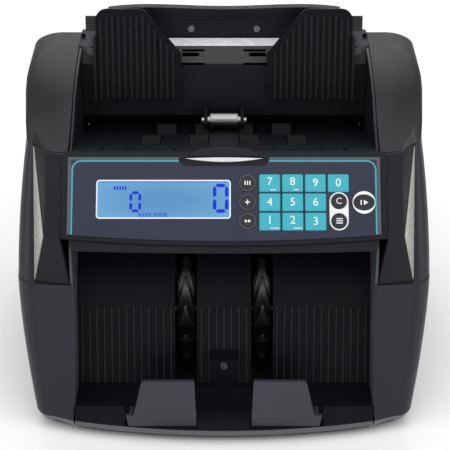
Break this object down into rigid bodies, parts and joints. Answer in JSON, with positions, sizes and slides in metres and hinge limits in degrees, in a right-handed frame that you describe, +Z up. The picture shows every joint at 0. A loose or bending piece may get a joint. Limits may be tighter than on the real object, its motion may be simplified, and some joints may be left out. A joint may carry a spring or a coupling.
{
  "type": "banknote counting machine",
  "caption": "Desktop banknote counter: sloping hopper with sliding ribbed guides, roller feed, tilted key panel with display, and an open finger-wheel stacker with note stops.",
  "frame": {"origin": "on the table, below the middle of the machine's bounding box", "axes": "+X to the right as the user faces the machine, +Y to the back, +Z up"},
  "size_m": [0.286, 0.244, 0.243],
  "materials": {
    "shell_black": "satin fine-grained moulded black plastic",
    "inner_black": "matt black moulded plastic",
    "guide_black": "semi-gloss black ribbed plastic",
    "finger_black": "flexible dark plastic fingers",
    "grey_plastic": "matt dark grey plastic",
    "stop_grey": "satin grey plastic",
    "overlay_slate": "fine-textured slate polycarbonate film",
    "key_cyan": "cyan printed keys",
    "key_black": "black round keys",
    "display_glass": "back-lit blue display window",
    "trim_silver": "glossy light facets",
    "trim_chrome": "bright trim",
    "zinc_steel": "black painted sheet",
    "foot_rubber": "black rubber",
    "tyre_rubber": "ground friction rubber",
    "belt_rubber": "flat belt",
    "shaft_steel": "ground steel shaft",
    "roller_steel": "ground steel roller",
    "motor_zinc": "zinc-plated motor can",
    "screw_steel": "zinc-plated cross-head screws",
    "transformer_iron": "varnished laminated iron and tape",
    "circuit_board": "green solder mask",
    "label_white": "white paper label",
    "inlet_black": "black thermoplastic",
    "switch_red": "red rocker"
  },
  "bodies": {
    "chassis": {"base_pan": "zinc_steel", "feet": "foot_rubber", "side_cover_left": "shell_black", "side_cover_right": "shell_black", "upper_cover_left": "shell_black", "upper_cover_right": "shell_black", "console": "shell_black", "pillar_trims": "trim_silver", "front_lip": "shell_black", "rear_cover": "shell_black", "panel_overlay": "overlay_slate", "lcd_window": "display_glass", "panel_board": "circuit_board", "main_board": "circuit_board", "transformer": "transformer_iron", "side_frame_left": "inner_black", "side_frame_right": "inner_black", "hopper_floor": "inner_black", "hopper_back": "grey_plastic", "feed_motor": "motor_zinc", "stacker_motor": "motor_zinc", "drive_belts": "belt_rubber", "stacker_plate": "inner_black", "stacker_tray": "inner_black", "note_stops": "stop_grey", "notch_trim": "trim_chrome", "spec_label": "label_white", "power_inlet": "inlet_black", "screws": "screw_steel"},
    "left_guide": {"guide_left": "guide_black", "carrier_left": "grey_plastic"},
    "right_guide": {"guide_right": "guide_black", "carrier_right": "grey_plastic"},
    "kicker": {"kicker_shaft": "shaft_steel", "kicker_tyres": "tyre_rubber"},
    "feed": {"feed_shaft": "shaft_steel", "feed_tyres": "tyre_rubber"},
    "separator": {"separating_roller": "roller_steel"},
    "fingers": {"finger_wheel_shaft": "shaft_steel", "finger_wheels": "finger_black"},
    "feed_rotor": {"feed_motor_pulley": "motor_zinc"},
    "stacker_rotor": {"stacker_motor_pulley": "motor_zinc"},
    "rocker": {"power_switch": "switch_red"},
    "knob": {"adjust_knob": "inlet_black"},
    "key_0_cap": {"key_0": "key_cyan"},
    "key_1_cap": {"key_1": "key_cyan"},
    "key_2_cap": {"key_2": "key_cyan"},
    "key_3_cap": {"key_3": "key_cyan"},
    "key_4_cap": {"key_4": "key_cyan"},
    "key_5_cap": {"key_5": "key_cyan"},
    "key_6_cap": {"key_6": "key_cyan"},
    "key_7_cap": {"key_7": "key_cyan"},
    "key_8_cap": {"key_8": "key_cyan"},
    "key_9_cap": {"key_9": "key_cyan"},
    "key_count_cap": {"key_count": "key_black"},
    "key_add_cap": {"key_add": "key_black"},
    "key_speed_cap": {"key_speed": "key_black"},
    "key_clear_cap": {"key_clear": "key_black"},
    "key_batch_cap": {"key_batch": "key_black"},
    "key_restart_cap": {"key_restart": "key_black"}
  },
  "joints": [
    {"name": "left_guide_slide", "type": "slide", "parent": "chassis", "child": "left_guide", "axis": [1, 0, 0], "range_m": [0, 0.025]},
    {"name": "right_guide_slide", "type": "slide", "parent": "chassis", "child": "right_guide", "axis": [-1, 0, 0], "range_m": [0, 0.025]},
    {"name": "feed_spin", "type": "hinge", "parent": "chassis", "child": "feed", "pos_m": [0, 0.047, 0.15], "axis": [1, 0, 0], "continuous": true},
    {"name": "kicker_spin", "type": "hinge", "parent": "chassis", "child": "kicker", "pos_m": [0, 0.01, 0.156], "axis": [1, 0, 0], "continuous": true},
    {"name": "feed_motor_spin", "type": "hinge", "parent": "chassis", "child": "feed_rotor", "pos_m": [0, 0.074, 0.082], "axis": [1, 0, 0], "continuous": true},
    {"name": "separator_spin", "type": "hinge", "parent": "chassis", "child": "separator", "pos_m": [0, 0.042, 0.1682], "axis": [1, 0, 0], "continuous": true},
    {"name": "finger_wheel_spin", "type": "hinge", "parent": "chassis", "child": "fingers", "pos_m": [0, -0.03, 0.053], "axis": [1, 0, 0], "continuous": true},
    {"name": "stacker_motor_spin", "type": "hinge", "parent": "chassis", "child": "stacker_rotor", "pos_m": [0, 0.042, 0.04], "axis": [1, 0, 0], "continuous": true},
    {"name": "power_rocker", "type": "hinge", "parent": "chassis", "child": "rocker", "pos_m": [-0.078, 0.115, 0.046], "axis": [1, 0, 0], "range_deg": [0, 16]},
    {"name": "gap_knob_turn", "type": "hinge", "parent": "chassis", "child": "knob", "pos_m": [0, 0.107, 0.215], "axis": [0, 0, 1], "range_deg": [-160, 160]},
    {"name": "key_0_press", "type": "slide", "parent": "chassis", "child": "key_0_cap", "axis": [0, 0.7547, -0.6561], "range_m": [0, 0.0005], "stiffness_N_per_m": 250, "springref_m": -0.001},
    {"name": "key_1_press", "type": "slide", "parent": "chassis", "child": "key_1_cap", "axis": [0, 0.7547, -0.6561], "range_m": [0, 0.0005], "stiffness_N_per_m": 250, "springref_m": -0.001},
    {"name": "key_2_press", "type": "slide", "parent": "chassis", "child": "key_2_cap", "axis": [0, 0.7547, -0.6561], "range_m": [0, 0.0005], "stiffness_N_per_m": 250, "springref_m": -0.001},
    {"name": "key_3_press", "type": "slide", "parent": "chassis", "child": "key_3_cap", "axis": [0, 0.7547, -0.6561], "range_m": [0, 0.0005], "stiffness_N_per_m": 250, "springref_m": -0.001},
    {"name": "key_4_press", "type": "slide", "parent": "chassis", "child": "key_4_cap", "axis": [0, 0.7547, -0.6561], "range_m": [0, 0.0005], "stiffness_N_per_m": 250, "springref_m": -0.001},
    {"name": "key_5_press", "type": "slide", "parent": "chassis", "child": "key_5_cap", "axis": [0, 0.7547, -0.6561], "range_m": [0, 0.0005], "stiffness_N_per_m": 250, "springref_m": -0.001},
    {"name": "key_6_press", "type": "slide", "parent": "chassis", "child": "key_6_cap", "axis": [0, 0.7547, -0.6561], "range_m": [0, 0.0005], "stiffness_N_per_m": 250, "springref_m": -0.001},
    {"name": "key_7_press", "type": "slide", "parent": "chassis", "child": "key_7_cap", "axis": [0, 0.7547, -0.6561], "range_m": [0, 0.0005], "stiffness_N_per_m": 250, "springref_m": -0.001},
    {"name": "key_8_press", "type": "slide", "parent": "chassis", "child": "key_8_cap", "axis": [0, 0.7547, -0.6561], "range_m": [0, 0.0005], "stiffness_N_per_m": 250, "springref_m": -0.001},
    {"name": "key_9_press", "type": "slide", "parent": "chassis", "child": "key_9_cap", "axis": [0, 0.7547, -0.6561], "range_m": [0, 0.0005], "stiffness_N_per_m": 250, "springref_m": -0.001},
    {"name": "key_count_press", "type": "slide", "parent": "chassis", "child": "key_count_cap", "axis": [0, 0.7547, -0.6561], "range_m": [0, 0.0005], "stiffness_N_per_m": 250, "springref_m": -0.001},
    {"name": "key_add_press", "type": "slide", "parent": "chassis", "child": "key_add_cap", "axis": [0, 0.7547, -0.6561], "range_m": [0, 0.0005], "stiffness_N_per_m": 250, "springref_m": -0.001},
    {"name": "key_speed_press", "type": "slide", "parent": "chassis", "child": "key_speed_cap", "axis": [0, 0.7547, -0.6561], "range_m": [0, 0.0005], "stiffness_N_per_m": 250, "springref_m": -0.001},
    {"name": "key_clear_press", "type": "slide", "parent": "chassis", "child": "key_clear_cap", "axis": [0, 0.7547, -0.6561], "range_m": [0, 0.0005], "stiffness_N_per_m": 250, "springref_m": -0.001},
    {"name": "key_batch_press", "type": "slide", "parent": "chassis", "child": "key_batch_cap", "axis": [0, 0.7547, -0.6561], "range_m": [0, 0.0005], "stiffness_N_per_m": 250, "springref_m": -0.001},
    {"name": "key_restart_press", "type": "slide", "parent": "chassis", "child": "key_restart_cap", "axis": [0, 0.7547, -0.6561], "range_m": [0, 0.0005], "stiffness_N_per_m": 250, "springref_m": -0.001}
  ],
  "couplings": [
    {"joint": "kicker_spin", "follows": "feed_spin", "ratio": 1},
    {"joint": "feed_motor_spin", "follows": "feed_spin", "ratio": 1.375},
    {"joint": "stacker_motor_spin", "follows": "finger_wheel_spin", "ratio": 1.375}
  ]
}
